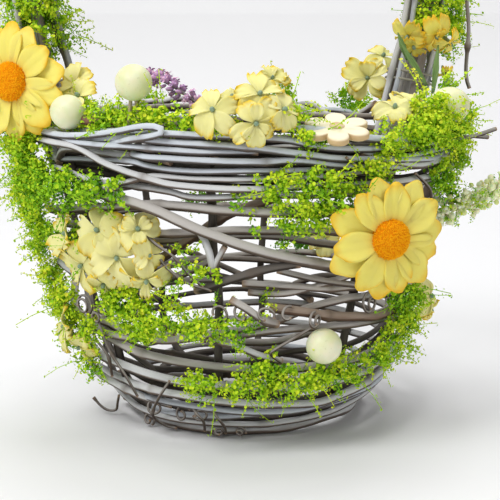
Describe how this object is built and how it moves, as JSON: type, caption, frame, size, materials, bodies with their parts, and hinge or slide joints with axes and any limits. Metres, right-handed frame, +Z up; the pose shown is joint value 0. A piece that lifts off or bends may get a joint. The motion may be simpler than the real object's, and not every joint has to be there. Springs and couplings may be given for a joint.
{
  "type": "easter basket",
  "caption": "Round open-woven basket of limed vines with a wrapped rim and a fixed arch handle, trimmed with moss, silk daisies and beads.",
  "frame": {"origin": "on the basket's axis, at the level of the surface it stands on", "axes": "+Z up, -Y towards the trimmed front, +X to the right seen from the front; the handle's plane is turned 15 degrees from X about Z"},
  "size_m": [0.2538, 0.2224, 0.3188],
  "materials": {
    "limed_vine": "matte bark under a grey lime wash",
    "grey_vine": "matte grey bark, less limed",
    "brown_vine": "matte brown bark, lightly limed",
    "tendril": "dry grey-brown curled shoots",
    "wire": "dull annealed wire",
    "moss": "dyed preserved moss, matte",
    "daisy_silk": "pale yellow woven silk with orange-yellow tips",
    "flock": "orange flocked fuzz",
    "blossom_silk": "thin pale yellow silk with orange edges",
    "bead": "satin paint, pale cream to pale green",
    "stem": "reddish-brown twig and pale paired stems",
    "plywood": "bare sanded thin plywood",
    "lavender": "dusty purple buds on a grey stem",
    "berries": "cream foam berries"
  },
  "bodies": {
    "root": {"foot_ring": "limed_vine", "foot_hoop": "limed_vine", "floor_hoop_1": "limed_vine", "floor_hoop_2": "limed_vine", "wall_hoop_1": "limed_vine", "wall_hoop_2": "limed_vine", "wall_hoop_3": "limed_vine", "wall_hoop_4": "limed_vine", "wall_hoop_5": "brown_vine", "wall_hoop_6": "limed_vine", "wall_hoop_7": "limed_vine", "wall_hoop_8": "limed_vine", "wall_hoop_9": "limed_vine", "rim_hoop_1": "limed_vine", "rim_hoop_2": "limed_vine", "rim_hoop_3": "limed_vine", "rim_hoop_4": "limed_vine", "rim_hoop_5": "limed_vine", "rim_hoop_6": "limed_vine", "rim_hoop_7": "limed_vine", "diagonal_vine_1": "limed_vine", "diagonal_vine_2": "limed_vine", "stake_1": "grey_vine", "stake_2": "grey_vine", "stake_3": "grey_vine", "stake_4": "grey_vine", "stake_5": "grey_vine", "stake_6": "grey_vine", "stake_7": "grey_vine", "stake_8": "grey_vine", "handle_rod_1": "grey_vine", "handle_rod_2": "grey_vine", "handle_rod_3": "grey_vine", "handle_rod_4": "grey_vine", "handle_rod_5": "grey_vine", "tie_wires": "wire", "tendrils": "tendril", "moss_rim_left": "moss", "moss_rim_right": "moss", "moss_rim_front": "moss", "moss_wall_left": "moss", "moss_wall_right": "moss", "moss_wall_front": "moss", "moss_handle_left": "moss", "moss_handle_right": "moss", "daisy_left_petals": "daisy_silk", "daisy_right_petals": "daisy_silk", "daisy_left_centre": "flock", "daisy_right_centre": "flock", "blossoms_wall": "blossom_silk", "blossoms_rim": "blossom_silk", "blossoms_handle": "blossom_silk", "bead_left": "bead", "bead_tall": "bead", "bead_wall": "bead", "egg_right": "bead", "bead_stems": "stem", "wooden_flower": "plywood", "lavender_sprig": "lavender", "berry_sprig": "berries"}
  },
  "joints": []
}
